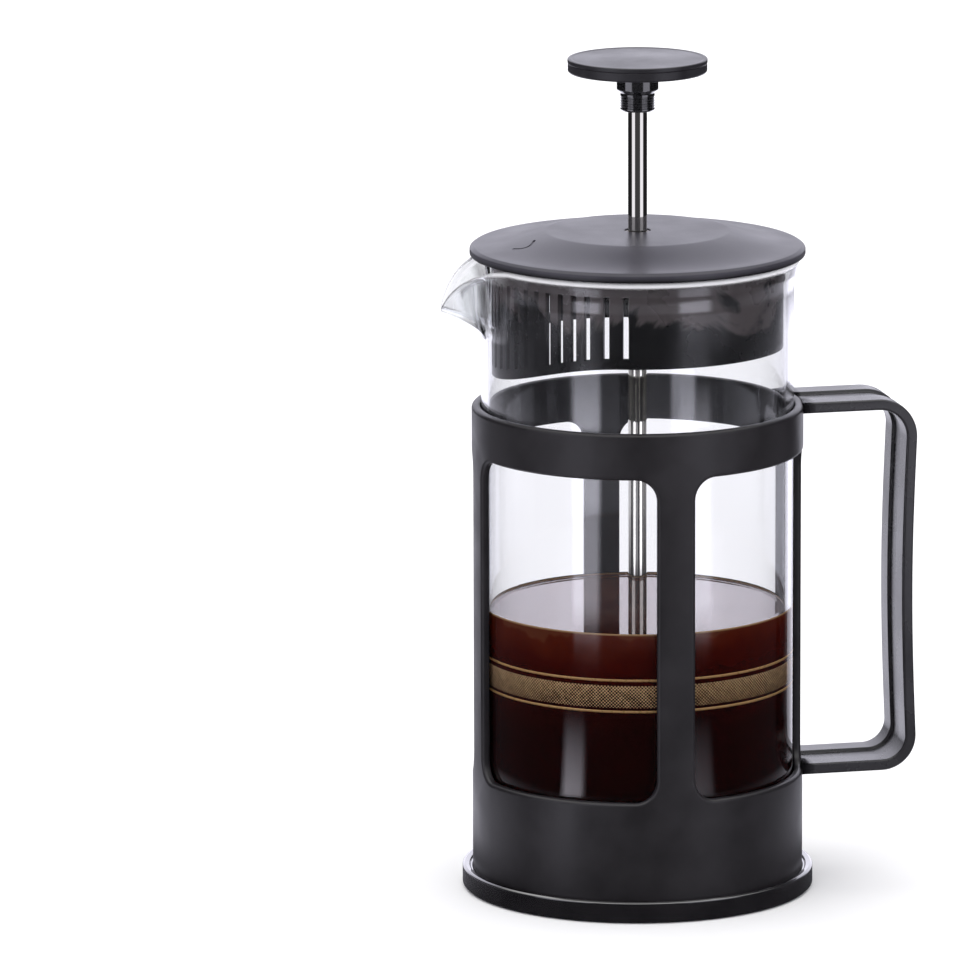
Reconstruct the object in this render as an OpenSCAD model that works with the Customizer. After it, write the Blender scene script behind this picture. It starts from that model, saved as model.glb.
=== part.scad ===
// French press: a glass beaker in a moulded holder, with a lid and a mesh-filter plunger.
// The origin is the centre of the underside. +Z is up, the handle is along +X and the
// pouring lip along -X. All sizes are in millimetres.

/* [Base] */
// Radius of the base flange
base_r = 55.7; // [55:0.1:58]
// Height of the rim of the base flange
base_h = 6.8; // [6:0.1:8]
// Thickness of the floor of the base flange
base_floor = 2.5; // [2:0.1:3]

/* [Holder] */
// Outside radius of the holder
cage_r = 52.4; // [52:0.1:53]
// Wall thickness of the holder
cage_wall = 2.7; // [2.4:0.05:2.7]
// Height of the window sills
sill_z = 37.7; // [30:0.1:45]
// Height of the window heads
head_z = 140.8; // [120:0.1:142]
// Height of the top of the ring
ring_z = 155.5; // [150:0.1:158]
// Width of one post, measured round the outside
post_w = 12.5; // [10:0.5:16]
// Corner radius of the windows
window_corner = 7; // [4:0.5:9]

/* [Handle] */
// Distance from the axis to the outside of the grip
handle_x = 88.1; // [80:0.1:95]
// Width of the handle strap
handle_w = 27; // [20:0.5:28]
// Thickness of the handle strap
handle_t = 3.5; // [3:0.1:4]
// Height of the underside of the lower arm
handle_low_z = 35.1; // [30:0.1:40]
// Outside radius of the upper corner
handle_top_corner = 12.5; // [9:0.5:16]
// Outside radius of the lower corner
handle_low_corner = 11; // [9:0.5:16]
// How far the grip bows inwards at mid-height
handle_bow = 1.3; // [0:0.1:3]
// Width of the groove along both faces of the strap
groove_w = 9.5; // [6:0.5:12]
// Depth of the groove
groove_d = 0.9; // [0.4:0.1:1]

/* [Beaker] */
// Outside radius of the glass
glass_r = 49.4; // [49:0.1:49.4]
// Wall thickness of the glass
glass_wall = 2.4; // [2:0.1:2.4]
// Height of the underside of the glass
glass_z = 8.2; // [8:0.1:9]
// Height of the rim of the glass
rim_z = 203; // [195:0.1:203]
// How far the rim of the glass flares out
rim_flare = 1.4; // [0:0.1:1.6]
// Distance from the axis to the tip of the pouring lip
lip_x = 63; // [58:0.5:65]
// Height of the middle of the tip of the pouring lip
lip_z = 190.2; // [188:0.1:194]
// Half the angle that the pouring lip spans at the wall
lip_half_angle = 24; // [18:1:28]

/* [Lid] */
// Radius of the lid
lid_r = 52.9; // [52:0.1:54]
// Height of the lower edge of the lid
lid_z = 203.4; // [203:0.1:204]
// Height of the top of the lid's rim
lid_shoulder_z = 206.4; // [206:0.1:208]
// Height of the flat middle of the lid
lid_top_z = 210.9; // [210:0.1:212]
// Radius of the flat middle of the lid
lid_flat_r = 28.5; // [26:0.5:36]
// Thickness of the lid
lid_wall = 2; // [1.6:0.1:2.2]
// Outside radius of the strainer skirt
skirt_r = 46; // [45:0.1:46.2]
// Thickness of the strainer skirt
skirt_wall = 2; // [1.6:0.1:2.4]
// Height of the lower edge of the skirt, away from the lip
skirt_low_z = 175; // [172:0.5:180]
// How much deeper the skirt hangs on the side of the lip
skirt_dip = 8.6; // [0:0.1:10]
// Angle from the lip at which the skirt is back at its plain depth
skirt_dip_angle = 70; // [50:5:80]
// Number of slots on each side of the lip
slots_each_side = 12; // [6:1:12]
// Width of one slot
slot_w = 1.8; // [1.5:0.1:2.2]
// Angle between neighbouring slots
slot_pitch = 5.67; // [5:0.01:6]
// Angle between neighbours for the last two slots on each side
slot_end_pitch = 7.6; // [6:0.1:8]

/* [Plunger] */
// Radius of the rod
rod_r = 3; // [2.5:0.05:3.2]
// Radius of the knob
knob_r = 22; // [18:0.5:24]
// Height of the underside of the knob
knob_z = 261.3; // [258:0.1:264]
// Thickness of the lower disc of the knob
knob_base_t = 2.9; // [2.5:0.1:3.5]
// Thickness of the cap of the knob at its edge
knob_cap_t = 1.5; // [1.2:0.1:2]
// Radius of the upper collar
neck_r = 6.55; // [6:0.05:8]
// Height of the upper collar
neck_h = 6.6; // [5:0.1:8]
// Radius of the lower collar
ferrule_r = 5.4; // [5:0.1:6]
// Height of the lower collar
ferrule_h = 5.7; // [4:0.1:7]

/* [Filter] */
// Outside radius of the mesh screen
mesh_r = 46.7; // [46:0.1:46.7]
// Height of the underside of the mesh screen
mesh_z = 66.6; // [64:0.1:70]
// Height of the band of mesh that rubs on the glass
mesh_band_h = 8.8; // [7:0.1:10]
// Thickness of the filter plates and the mesh
plate_t = 0.8; // [0.6:0.1:1]
// Radius of the filter hub
hub_r = 6.5; // [6:0.1:8]
// Number of flow holes in each ring of a plate
flow_holes = 12; // [6:1:16]

/* [Hidden] */
$fn = 96;

// Gap between two pieces that are fixed together, and between a shaft and its bore
fit_gap = 0.05;
// How far a cutter runs past the solid that it cuts
over = 1;

cage_inner = cage_r - cage_wall;
ledge_z = 4;
ledge_t = 2.5;
ledge_r = 33;
cushion_r = 43;

glass_inner = glass_r - glass_wall;
glass_floor = 3;
glass_heel = 7;
flare_h = 8;
lip_low_z = 181;
lip_tip_r = 1.6;

arm_top_z = ring_z - handle_t / 2;
arm_low_z = handle_low_z + handle_t / 2;
grip_x = handle_x - handle_t / 2;
tenon_w = 14;
tenon_t = handle_t - 2 * groove_d;

bush_r = 4;
bush_flange_r = 5.4;
bush_flange_t = 0.8;
skirt_inner = skirt_r - skirt_wall;
slot_top_z = 198;
slot_margin = 3.2;

ferrule_z = knob_z - neck_h - ferrule_h;
insert_r = 4;
rod_top_z = knob_z + 0.4;
rod_low_z = 60;
plate_r = 46.3;
spring_wire_r = 1.7;
spring_z = mesh_z + mesh_band_h - 3;
dome_h = 3;
hub_h = 7;
nut_h = 7;

// Points of an arc round centre c, from angle a0 to angle a1.
function arc(c, r, a0, a1, n = 8) = [
    for (i = [0:n]) let (a = a0 + (a1 - a0) * i / n) [c[0] + r * cos(a), c[1] + r * sin(a)]
];

function reversed(points) = [for (i = [len(points) - 1:-1:0]) points[i]];

// Outline of a rectangle of width w from z0 to z1 with rounded corners.
function rounded_outline(w, z0, z1, r) = concat(
    arc([w / 2 - r, z1 - r], r, 0, 90),
    arc([r - w / 2, z1 - r], r, 90, 180),
    arc([r - w / 2, z0 + r], r, 180, 270),
    arc([w / 2 - r, z0 + r], r, 270, 360)
);

// Lower edge of the skirt at the distance x from the axis, measured along X.
function skirt_edge(x) =
    let (a = acos(max(-1, min(1, -x / skirt_r))))
    skirt_low_z - (a < skirt_dip_angle ? skirt_dip * (1 + cos(180 * a / skirt_dip_angle)) / 2 : 0);

// A tube between two radii, from z0 up to z1.
module tube(outer, inner, z0, z1) {
    difference() {
        translate([0, 0, z0]) cylinder(r = outer, h = z1 - z0);
        translate([0, 0, z0 - over]) cylinder(r = inner, h = z1 - z0 + 2 * over);
    }
}

// A closed wedge whose outline is a rounded window seen from the axis, to cut the wall.
module window_cutter() {
    near = 40;
    far = 70;
    width = cage_r * PI / 2 - post_w;
    outline = rounded_outline(width, sill_z, head_z, window_corner);
    n = len(outline);
    points = [
        for (r = [near, far]) for (p = outline)
            let (a = p[0] / cage_r * 180 / PI) [r * cos(a), r * sin(a), p[1]]
    ];
    sides = [for (i = [0:n - 1]) let (j = (i + 1) % n) each [[i, n + i, n + j], [i, n + j, j]]];
    caps = [for (i = [1:n - 2]) each [[0, i, i + 1], [n, n + i + 1, n + i]]];
    polyhedron(points = points, faces = concat(sides, caps));
}

// Cut through the wall for one tenon of the handle.
module tenon_slot(z) {
    translate([cage_inner - over, -tenon_w / 2 - fit_gap, z - tenon_t / 2 - fit_gap])
        cube([cage_wall + 2 * over, tenon_w + 2 * fit_gap, tenon_t + 2 * fit_gap]);
}

module base_flange() {
    groove = cage_r + 0.2;
    bead = 1.2;
    dip = 1;
    edge = 0.8;
    color([0.03, 0.03, 0.035])
    rotate_extrude()
    polygon(concat(
        [[0, 0], [base_r - 0.8, 0], [base_r, 0.8]],
        arc([base_r - edge, base_h - edge], edge, 0, 90),
        [[groove + bead, base_h], [groove + bead - 0.4, base_h - dip], [groove, base_h - dip]],
        [[groove, base_floor], [0, base_floor]]
    ));
}

module frame_cage() {
    lip = 1;
    color([0.17, 0.16, 0.18])
    difference() {
        rotate_extrude()
        polygon(concat(
            [[ledge_r, ledge_z], [cage_r - 2, ledge_z], [cage_r - 2, base_floor + fit_gap]],
            [[cage_r, base_floor + fit_gap]],
            arc([cage_r - lip, ring_z - lip], lip, 0, 90, 5),
            arc([cage_inner + lip, ring_z - lip], lip, 90, 180, 5),
            [[cage_inner, ledge_z + ledge_t], [ledge_r, ledge_z + ledge_t]]
        ));
        for (q = [45:90:315]) rotate([0, 0, q]) window_cutter();
        tenon_slot(arm_top_z);
        tenon_slot(arm_low_z);
    }
}

module cushion_ring() {
    color([0.5, 0.5, 0.52])
    tube(cushion_r, ledge_r + 1, ledge_z + ledge_t, glass_z - 0.02);
}

// Side view of the strap at the distance off from its middle line, from the upper wall end
// round to the lower wall end.
function strap_line(off) =
    let (
        rt = handle_top_corner - handle_t / 2,
        rl = handle_low_corner - handle_t / 2,
        x0 = cage_r - 4,
        z1 = arm_top_z - rt,
        z0 = arm_low_z + rl,
        steps = 12
    )
    concat(
        [[x0, arm_top_z + off]],
        arc([grip_x - rt, z1], rt + off, 90, 0),
        [
            for (i = [1:steps - 1])
                [grip_x + off - handle_bow * sin(180 * i / steps), z1 + (z0 - z1) * i / steps]
        ],
        arc([grip_x - rl, z0], rl + off, 0, -90),
        [[x0, arm_low_z - off]]
    );

// The strap between two distances from its middle line, w wide.
module strap(inner, outer, w) {
    rotate([90, 0, 0])
        translate([0, 0, -w / 2])
            linear_extrude(height = w)
                polygon(concat(strap_line(outer), reversed(strap_line(inner))));
}

module handle() {
    half = handle_t / 2;
    color([0.14, 0.14, 0.15]) {
        difference() {
            strap(-half, half, handle_w);
            strap(half - groove_d, half + over, groove_w);
            strap(-half - over, groove_d - half, groove_w);
            translate([0, 0, handle_low_z - 10])
                cylinder(r = cage_r + 0.02, h = ring_z - handle_low_z + 20);
        }
        for (z = [arm_top_z, arm_low_z])
            translate([cage_inner + 0.2, -tenon_w / 2, z - tenon_t / 2])
                cube([cage_wall + 3, tenon_w, tenon_t]);
    }
}

// Outline of the glass in section: outside going up, inside coming down.
module glass_section() {
    outer_heel = arc([glass_r - glass_heel, glass_z + glass_heel], glass_heel, -90, 0);
    inner_heel = glass_heel - glass_wall;
    floor_z = glass_z + glass_floor;
    flare = [for (t = [0:0.25:1]) [rim_flare * t * t, rim_z - flare_h * (1 - t)]];
    polygon(concat(
        [[0, glass_z]],
        outer_heel,
        [for (p = flare) [glass_r + p[0], p[1]]],
        reversed([for (p = flare) [glass_inner + p[0], p[1]]]),
        reversed(arc([glass_inner - inner_heel, floor_z + inner_heel], inner_heel, -90, 0)),
        [[0, floor_z]]
    ));
}

// Body of the pouring lip: a band of the wall drawn out to a tip.
// shrink moves it inwards by the wall, and lift moves it up.
module lip_form(shrink, lift, spread) {
    wall_r = glass_r + rim_flare - shrink;
    hull() {
        rotate([0, 0, 180 - spread])
            rotate_extrude(angle = 2 * spread, $fn = 32)
                translate([glass_inner - 4, lip_low_z + lift])
                    square([wall_r - glass_inner + 4, rim_z - lip_low_z - 0.1]);
        translate([-lip_x + lip_tip_r + shrink, 0, lip_z + lift])
            sphere(r = lip_tip_r, $fn = 24);
    }
}

module glass_beaker() {
    color([0.85, 0.9, 0.95, 0.4])
    difference() {
        union() {
            rotate_extrude() glass_section();
            lip_form(0, 0, lip_half_angle);
        }
        lip_form(1.7, 2, lip_half_angle - 2);
        translate([0, 0, glass_z + 2 * glass_heel])
            cylinder(r = glass_inner, h = rim_z);
    }
}

module lid_bush() {
    color([0.1, 0.1, 0.11])
    difference() {
        union() {
            translate([0, 0, lid_top_z - lid_wall - 1]) cylinder(r = bush_r, h = lid_wall + 0.6);
            translate([0, 0, lid_top_z - lid_wall - 1 - bush_flange_t])
                cylinder(r = bush_flange_r, h = bush_flange_t);
        }
        translate([0, 0, lid_top_z - 3 * lid_wall]) cylinder(r = rod_r + fit_gap, h = 6 * lid_wall);
    }
}

// Height of the upper surface of the lid at the distance r from the axis.
function lid_height(r) =
    let (t = max(0, min(1, (lid_r - 3 - r) / (lid_r - 3 - lid_flat_r))))
    lid_shoulder_z + (lid_top_z - lid_shoulder_z) * t * t * (2 - t);

module lid_cover() {
    edge = 1.4;
    radii = [for (i = [0:10]) lid_flat_r + (lid_r - 3 - lid_flat_r) * i / 10];
    seat_r = 50;
    color([0.27, 0.27, 0.3])
    rotate_extrude()
    polygon(concat(
        [[bush_r + fit_gap, lid_top_z]],
        [for (r = radii) [r, lid_height(r)]],
        arc([lid_r - edge, lid_shoulder_z - edge], edge, 90, 0),
        [[lid_r, lid_z + 0.6], [lid_r - 0.6, lid_z], [seat_r, lid_z]],
        [[seat_r - 1, lid_height(seat_r - 1) - lid_wall]],
        reversed([for (r = radii) if (r < seat_r - 3) [r, lid_height(r) - lid_wall]]),
        [[bush_r + fit_gap, lid_top_z - lid_wall]]
    ));
}

// Angle of a slot from the lip. The last two on each side stand wider apart.
function slot_angle(i) =
    slot_pitch * i + sign(i) * max(0, abs(i) - slots_each_side + 2) * (slot_end_pitch - slot_pitch);

module lid_strainer() {
    flange_r = 48.8;
    top = lid_shoulder_z - lid_wall - 0.02;
    lead = 1.5;
    low = skirt_low_z - skirt_dip;
    reach = skirt_r + 2;
    color([0.12, 0.12, 0.13])
    difference() {
        rotate_extrude()
        polygon([
            [skirt_inner, low - over],
            [skirt_r, low - over],
            [skirt_r, rim_z + 0.05],
            [flange_r, rim_z + 0.05],
            [flange_r, top],
            [skirt_inner, top]
        ]);
        rotate([90, 0, 0])
            translate([0, 0, -reach])
                linear_extrude(height = 2 * reach)
                    polygon(concat(
                        [[-reach, low - 3 * over], [reach, low - 3 * over], [reach, skirt_low_z]],
                        [for (a = [skirt_dip_angle:-5:0]) let (x = -skirt_r * cos(a)) [x, skirt_edge(x)]],
                        [[-reach, low]]
                    ));
        for (i = [-slots_each_side:slots_each_side])
            let (a = slot_angle(i), z = skirt_edge(-skirt_r * cos(a)) + slot_margin)
                rotate([0, 0, 180 + a])
                    translate([skirt_inner - lead, -slot_w / 2, z])
                        cube([skirt_wall + 2 * lead, slot_w, slot_top_z - z]);
    }
}

module rod() {
    color([0.75, 0.76, 0.78])
    translate([0, 0, rod_low_z]) cylinder(r = rod_r, h = rod_top_z - rod_low_z);
}

module knob_cap() {
    z0 = knob_z + knob_base_t + 0.02;
    edge = 0.6;
    color([0.24, 0.24, 0.26])
    rotate_extrude()
    polygon(concat(
        [[0, z0], [knob_r - 0.3, z0], [knob_r, z0 + 0.3]],
        arc([knob_r - edge, z0 + knob_cap_t - edge], edge, 0, 90, 5),
        [[knob_r - 2, z0 + knob_cap_t], [knob_r - 3, z0 + knob_cap_t - 0.3], [0, z0 + knob_cap_t - 0.1]]
    ));
}

module knob_base() {
    edge = 0.7;
    color([0.1, 0.1, 0.11])
    rotate_extrude()
    polygon(concat(
        [[insert_r + fit_gap, knob_z], [knob_r - edge, knob_z]],
        [[knob_r - 0.1, knob_z + edge], [knob_r - 0.1, knob_z + knob_base_t]],
        [[insert_r + fit_gap, knob_z + knob_base_t]]
    ));
}

module knob_neck() {
    z0 = knob_z - neck_h;
    chamfer = 1;
    color([0.05, 0.05, 0.055])
    rotate_extrude()
    polygon([
        [insert_r + fit_gap, z0], [neck_r - chamfer, z0], [neck_r, z0 + chamfer],
        [neck_r, knob_z - 0.02], [insert_r + fit_gap, knob_z - 0.02]
    ]);
}

module knob_ferrule() {
    z1 = ferrule_z + ferrule_h - 0.02;
    chamfer = 0.5;
    color([0.05, 0.05, 0.055])
    rotate_extrude()
    polygon([
        [rod_r + fit_gap, ferrule_z], [ferrule_r - chamfer, ferrule_z],
        [ferrule_r, ferrule_z + chamfer], [ferrule_r, z1], [rod_r + fit_gap, z1]
    ]);
}

module knob_insert() {
    color([0.75, 0.6, 0.3])
    tube(insert_r, rod_r + fit_gap, knob_z - neck_h, knob_z + knob_base_t);
}

module filter_hub() {
    z0 = mesh_z + mesh_band_h + dome_h;
    color([0.7, 0.71, 0.73])
    difference() {
        union() {
            translate([0, 0, z0 + plate_t + 0.02]) cylinder(r = hub_r, h = hub_h - 1);
            translate([0, 0, z0 + plate_t + hub_h - 1]) cylinder(r1 = hub_r, r2 = hub_r - 1, h = 1);
        }
        translate([0, 0, z0 - over]) cylinder(r = rod_r + fit_gap, h = hub_h + 3 * over);
    }
}

// Flow holes in two rings, from z0 up through a plate.
module flow_cutters(z0, radii, hole_r, h) {
    for (ring = radii)
        for (i = [0:flow_holes - 1])
            rotate([0, 0, 360 * (i + 0.5) / flow_holes])
                translate([ring, 0, z0])
                    cylinder(r = hole_r, h = h, $fn = 24);
}

module spring_plate() {
    low = mesh_z + mesh_band_h;
    top = low + dome_h;
    shoulder = 20;
    color([0.72, 0.73, 0.75])
    difference() {
        rotate_extrude()
        polygon([
            [rod_r + fit_gap, top], [shoulder - 3, top], [shoulder + 4, low + 0.4],
            [plate_r, low + 0.4], [plate_r, low + 0.4 + plate_t],
            [shoulder + 4, low + 0.4 + plate_t], [shoulder - 3, top + plate_t],
            [rod_r + fit_gap, top + plate_t]
        ]);
        flow_cutters(low - over, [29, 38], 2.2, dome_h + 4);
    }
}

module filter_spring() {
    color([0.7, 0.7, 0.72])
    rotate_extrude()
        translate([mesh_r - plate_t - spring_wire_r - 0.1, spring_z])
            circle(r = spring_wire_r, $fn = 48);
}

module mesh_screen() {
    band = 0.7;
    inner = mesh_r - band;
    color([0.72, 0.6, 0.38])
    rotate_extrude()
    polygon(concat(
        [[rod_r + fit_gap, mesh_z], [mesh_r - 1, mesh_z], [mesh_r, mesh_z + 1]],
        [[mesh_r, mesh_z + mesh_band_h - 1], [mesh_r - 1, mesh_z + mesh_band_h]],
        [[inner - 2, mesh_z + mesh_band_h], [inner - 2, mesh_z + mesh_band_h - band]],
        [[inner, mesh_z + mesh_band_h - band - 0.3]],
        [[inner, mesh_z + band], [rod_r + fit_gap, mesh_z + band]]
    ));
}

module cross_plate() {
    z0 = mesh_z - plate_t - 0.02;
    color([0.72, 0.73, 0.75])
    difference() {
        tube(plate_r, rod_r + fit_gap, z0, z0 + plate_t);
        flow_cutters(z0 - over, [14, 24, 36], 3, 3);
    }
}

module end_nut() {
    z1 = mesh_z - plate_t - 0.04;
    color([0.7, 0.71, 0.73])
    difference() {
        union() {
            translate([0, 0, z1 - nut_h + 1]) cylinder(r = hub_r, h = nut_h - 1);
            translate([0, 0, z1 - nut_h]) cylinder(r1 = hub_r - 1, r2 = hub_r, h = 1);
        }
        translate([0, 0, rod_low_z - fit_gap]) cylinder(r = rod_r + fit_gap, h = nut_h + over);
    }
}

base_flange();
frame_cage();
cushion_ring();
handle();
glass_beaker();
lid_bush();
lid_cover();
lid_strainer();
rod();
knob_cap();
knob_base();
knob_neck();
knob_ferrule();
knob_insert();
filter_hub();
spring_plate();
filter_spring();
mesh_screen();
cross_plate();
end_nut();
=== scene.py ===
"""French press: the looks. All sizes are in metres and in the frame of the CAD model:
+Z up, the handle along +X and the pouring lip along -X."""

import math

import bmesh
import bpy
import numpy as np
from mathutils import Matrix, Vector


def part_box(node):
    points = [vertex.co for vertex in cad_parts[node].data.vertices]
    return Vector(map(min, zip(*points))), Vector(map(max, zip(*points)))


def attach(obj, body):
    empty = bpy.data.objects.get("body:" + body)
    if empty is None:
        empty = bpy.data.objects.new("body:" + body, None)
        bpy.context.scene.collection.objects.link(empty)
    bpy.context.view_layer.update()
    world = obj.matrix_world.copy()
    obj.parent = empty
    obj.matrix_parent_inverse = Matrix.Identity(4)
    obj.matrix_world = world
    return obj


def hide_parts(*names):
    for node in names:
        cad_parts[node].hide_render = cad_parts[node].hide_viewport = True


MM = 0.001
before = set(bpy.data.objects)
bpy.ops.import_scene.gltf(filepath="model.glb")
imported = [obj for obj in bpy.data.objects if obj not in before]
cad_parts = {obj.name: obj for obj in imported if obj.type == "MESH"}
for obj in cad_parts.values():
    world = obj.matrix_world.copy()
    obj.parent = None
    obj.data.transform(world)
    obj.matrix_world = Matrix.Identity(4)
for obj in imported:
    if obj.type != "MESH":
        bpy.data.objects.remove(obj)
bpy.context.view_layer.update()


def low(node):
    """Lowest corner of a CAD node."""
    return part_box(node)[0]


def high(node):
    """Highest corner of a CAD node."""
    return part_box(node)[1]


# ---------------------------------------------------------------- sizes

CAGE_R = high("frame_cage").x
CAGE_T = 2.7 * MM
CAGE_IN = CAGE_R - CAGE_T
RING_Z = high("frame_cage").z
SILL_Z = 37.7 * MM
HEAD_Z = 140.8 * MM
POST_W = 12.5 * MM
WINDOW_CORNER = 7 * MM

GLASS_R = 49.4 * MM
GLASS_T = 2.4 * MM
GLASS_Z = low("glass_beaker").z
RIM_Z = high("glass_beaker").z
GLASS_IN = GLASS_R - GLASS_T
LIP_START_Z = 178 * MM
LIP_R = 62.8 * MM
LIP_DROOP = 13.7 * MM
LIP_HALF_ANGLE = math.radians(24)

BASE_R = high("base_flange").x
BASE_H = high("base_flange").z

LID_R = high("lid_cover").x
LID_TOP = high("lid_cover").z
LID_SHOULDER = 206.4 * MM
LID_FLAT_R = 28.5 * MM

HANDLE_X = high("handle").x
HANDLE_W = 27 * MM
HANDLE_T = 3.5 * MM
HANDLE_LOW = low("handle").z

MESH_Z = low("mesh_screen").z
MESH_TOP = high("mesh_screen").z
MESH_WIRES = 280
MESH_PITCH = 1.05 * MM
COFFEE_TOP = 90.2 * MM

# Names of the values that the glass carries at its points.
RIM_HIGHLIGHT = "painted_rim_highlight"
DRAWN = "drawn_lip"


# ---------------------------------------------------------------- mesh helpers


def mesh_object(name, verts, faces, body, material, replaces=(), smooth=True):
    """A mesh piece that rides on a body, with a material and the nodes that it stands for."""
    mesh = bpy.data.meshes.new(name)
    mesh.from_pydata([tuple(v) for v in verts], [], [tuple(f) for f in faces])
    mesh.validate()
    obj = bpy.data.objects.new(name, mesh)
    bpy.context.scene.collection.objects.link(obj)
    finish_piece(obj, body, material, replaces, smooth)
    return obj


def finish_piece(obj, body, material, replaces=(), smooth=True):
    """Gives a piece outward normals, its material, body and the nodes it stands for."""
    bm = bmesh.new()
    bm.from_mesh(obj.data)
    bmesh.ops.remove_doubles(bm, verts=bm.verts, dist=1e-7)
    bmesh.ops.recalc_face_normals(bm, faces=bm.faces)
    bm.to_mesh(obj.data)
    bm.free()
    obj.data.polygons.foreach_set("use_smooth", [smooth] * len(obj.data.polygons))
    obj.data.materials.clear()
    obj.data.materials.append(material)
    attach(obj, body)
    if replaces:
        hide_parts(*replaces)


def weighted(obj):
    """Normals that keep large flat faces flat beside small rounded edges."""
    mod = obj.modifiers.new("WeightedNormal", "WEIGHTED_NORMAL")
    mod.weight = 60
    mod.keep_sharp = True


def rounded(points, steps=6, closed=True):
    """A closed outline of (x, y, radius) corners, with each corner rounded by its radius."""
    out = []
    n = len(points)
    for i, (x, y, r) in enumerate(points):
        here = Vector((x, y))
        before = Vector(points[(i - 1) % n][:2]) - here
        after = Vector(points[(i + 1) % n][:2]) - here
        at_end = not closed and i in (0, n - 1)
        if r <= 0 or at_end or before.length < 1e-9 or after.length < 1e-9:
            out.append((x, y))
            continue
        a, b = before.normalized(), after.normalized()
        half = a.angle(b) / 2
        if half > math.radians(89):
            out.append((x, y))
            continue
        cut = min(r / math.tan(half), before.length * 0.49, after.length * 0.49)
        r = cut * math.tan(half)
        centre = here + (a + b).normalized() * (r / math.sin(half))
        start, end = here + a * cut - centre, here + b * cut - centre
        turn = start.angle_signed(end)
        for k in range(steps + 1):
            p = start.copy()
            p.rotate(Matrix.Rotation(-turn * k / steps, 2))
            out.append(tuple(centre + p))
    return out


def revolve_grid(outline, segments):
    """Vertices and faces of a closed outline of (r, z) turned round the Z axis."""
    verts, faces = [], []
    n = len(outline)
    for i in range(segments):
        a = 2 * math.pi * i / segments
        verts += [(r * math.cos(a), r * math.sin(a), z) for r, z in outline]
    for i in range(segments):
        j = (i + 1) % segments
        for k in range(n):
            m = (k + 1) % n
            if outline[k][0] < 1e-9 and outline[m][0] < 1e-9:
                continue
            faces.append((i * n + k, j * n + k, j * n + m, i * n + m))
    return verts, faces


def revolve(name, corners, body, material, replaces=(), slot=None, segments=160, steps=6):
    """A turned piece from a closed outline of (r, z, corner radius), in millimetres."""
    outline = rounded([(r * MM, z * MM, c * MM) for r, z, c in corners], steps)
    verts, faces = revolve_grid(outline, segments)
    obj = mesh_object(name, verts, faces, body, material, replaces)
    weighted(obj)
    return obj


def loops_to_faces(rows, closed=True):
    """Quads between rows of vertex indices of equal length."""
    faces = []
    for a, b in zip(rows, rows[1:]):
        n = len(a)
        for k in range(n if closed else n - 1):
            m = (k + 1) % n
            faces.append((a[k], a[m], b[m], b[k]))
    return faces


# ---------------------------------------------------------------- materials


def node_maker(nt):
    """A maker of nodes in one tree, with their settings and input values by name."""

    def add(kind, **values):
        node = nt.nodes.new(kind)
        for key, value in values.items():
            if hasattr(node, key):
                setattr(node, key, value)
            else:
                node.inputs[key.replace("_", " ")].default_value = value
        return node

    return add


def new_material(name):
    """A new material, with its node tree, its Principled shader and a maker of nodes."""
    mat = bpy.data.materials.new(name)
    mat.use_nodes = True
    nt = mat.node_tree
    return mat, nt, nt.nodes["Principled BSDF"], node_maker(nt)


def coordinates(nt, add, scale=(1, 1, 1)):
    """Object coordinates, which are the frame's own metres, stretched by scale."""
    coord = add("ShaderNodeTexCoord")
    mapping = add("ShaderNodeMapping")
    mapping.inputs["Scale"].default_value = scale
    nt.links.new(coord.outputs["Object"], mapping.inputs["Vector"])
    return mapping.outputs["Vector"]


def mapped(nt, add, source, to_min, to_max, from_min=0.3, from_max=0.7):
    """A value brought into a new range."""
    node = add("ShaderNodeMapRange", From_Min=from_min, From_Max=from_max, To_Min=to_min, To_Max=to_max)
    nt.links.new(source, node.inputs["Value"])
    return node.outputs["Result"]


def combined(nt, add, operation, a, b):
    """The result of one math operation on two values."""
    node = add("ShaderNodeMath", operation=operation)
    nt.links.new(a, node.inputs[0])
    nt.links.new(b, node.inputs[1])
    return node.outputs[0]


def mixed_shader(nt, add, factor, a, b):
    """A blend of two shaders, with all of the second where the factor is 1."""
    node = add("ShaderNodeMixShader")
    for socket, source in zip(node.inputs, (factor, a, b)):
        nt.links.new(source, socket)
    return node.outputs["Shader"]


def colour_ramp(nt, add, source, stops):
    """A colour along a value, from (place, (r, g, b)) stops."""
    ramp = add("ShaderNodeValToRGB")
    while len(ramp.color_ramp.elements) < len(stops):
        ramp.color_ramp.elements.new(0.5)
    for element, (place, colour) in zip(ramp.color_ramp.elements, stops):
        element.position = place
        element.color = (*colour, 1)
    nt.links.new(source, ramp.inputs["Fac"])
    return ramp.outputs["Color"]


def plastic(name, dark, light, rough, spread, grain, bump, specular=0.5, coat=0.0):
    """Moulded plastic: a fine grain, slow patches of gloss and a slight change of shade."""
    mat, nt, shader, add = new_material(name)
    place = coordinates(nt, add)
    fine = add("ShaderNodeTexNoise", Scale=1 / grain, Detail=3.0, Roughness=0.6)
    slow = add("ShaderNodeTexNoise", Scale=60.0, Detail=4.0, Roughness=0.55)
    for noise in (fine, slow):
        nt.links.new(place, noise.inputs["Vector"])
    colour = colour_ramp(nt, add, slow.outputs["Fac"], [(0.35, dark), (0.65, light)])
    nt.links.new(colour, shader.inputs["Base Color"])
    gloss = mapped(nt, add, slow.outputs["Fac"], rough - spread, rough + spread)
    nt.links.new(gloss, shader.inputs["Roughness"])
    bumps = add("ShaderNodeBump", Strength=bump, Distance=0.0001)
    nt.links.new(fine.outputs["Fac"], bumps.inputs["Height"])
    nt.links.new(bumps.outputs["Normal"], shader.inputs["Normal"])
    shader.inputs["Specular IOR Level"].default_value = specular
    shader.inputs["Coat Weight"].default_value = coat
    shader.inputs["Coat Roughness"].default_value = 0.08
    shader.inputs["Coat IOR"].default_value = 1.8
    return mat


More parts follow.
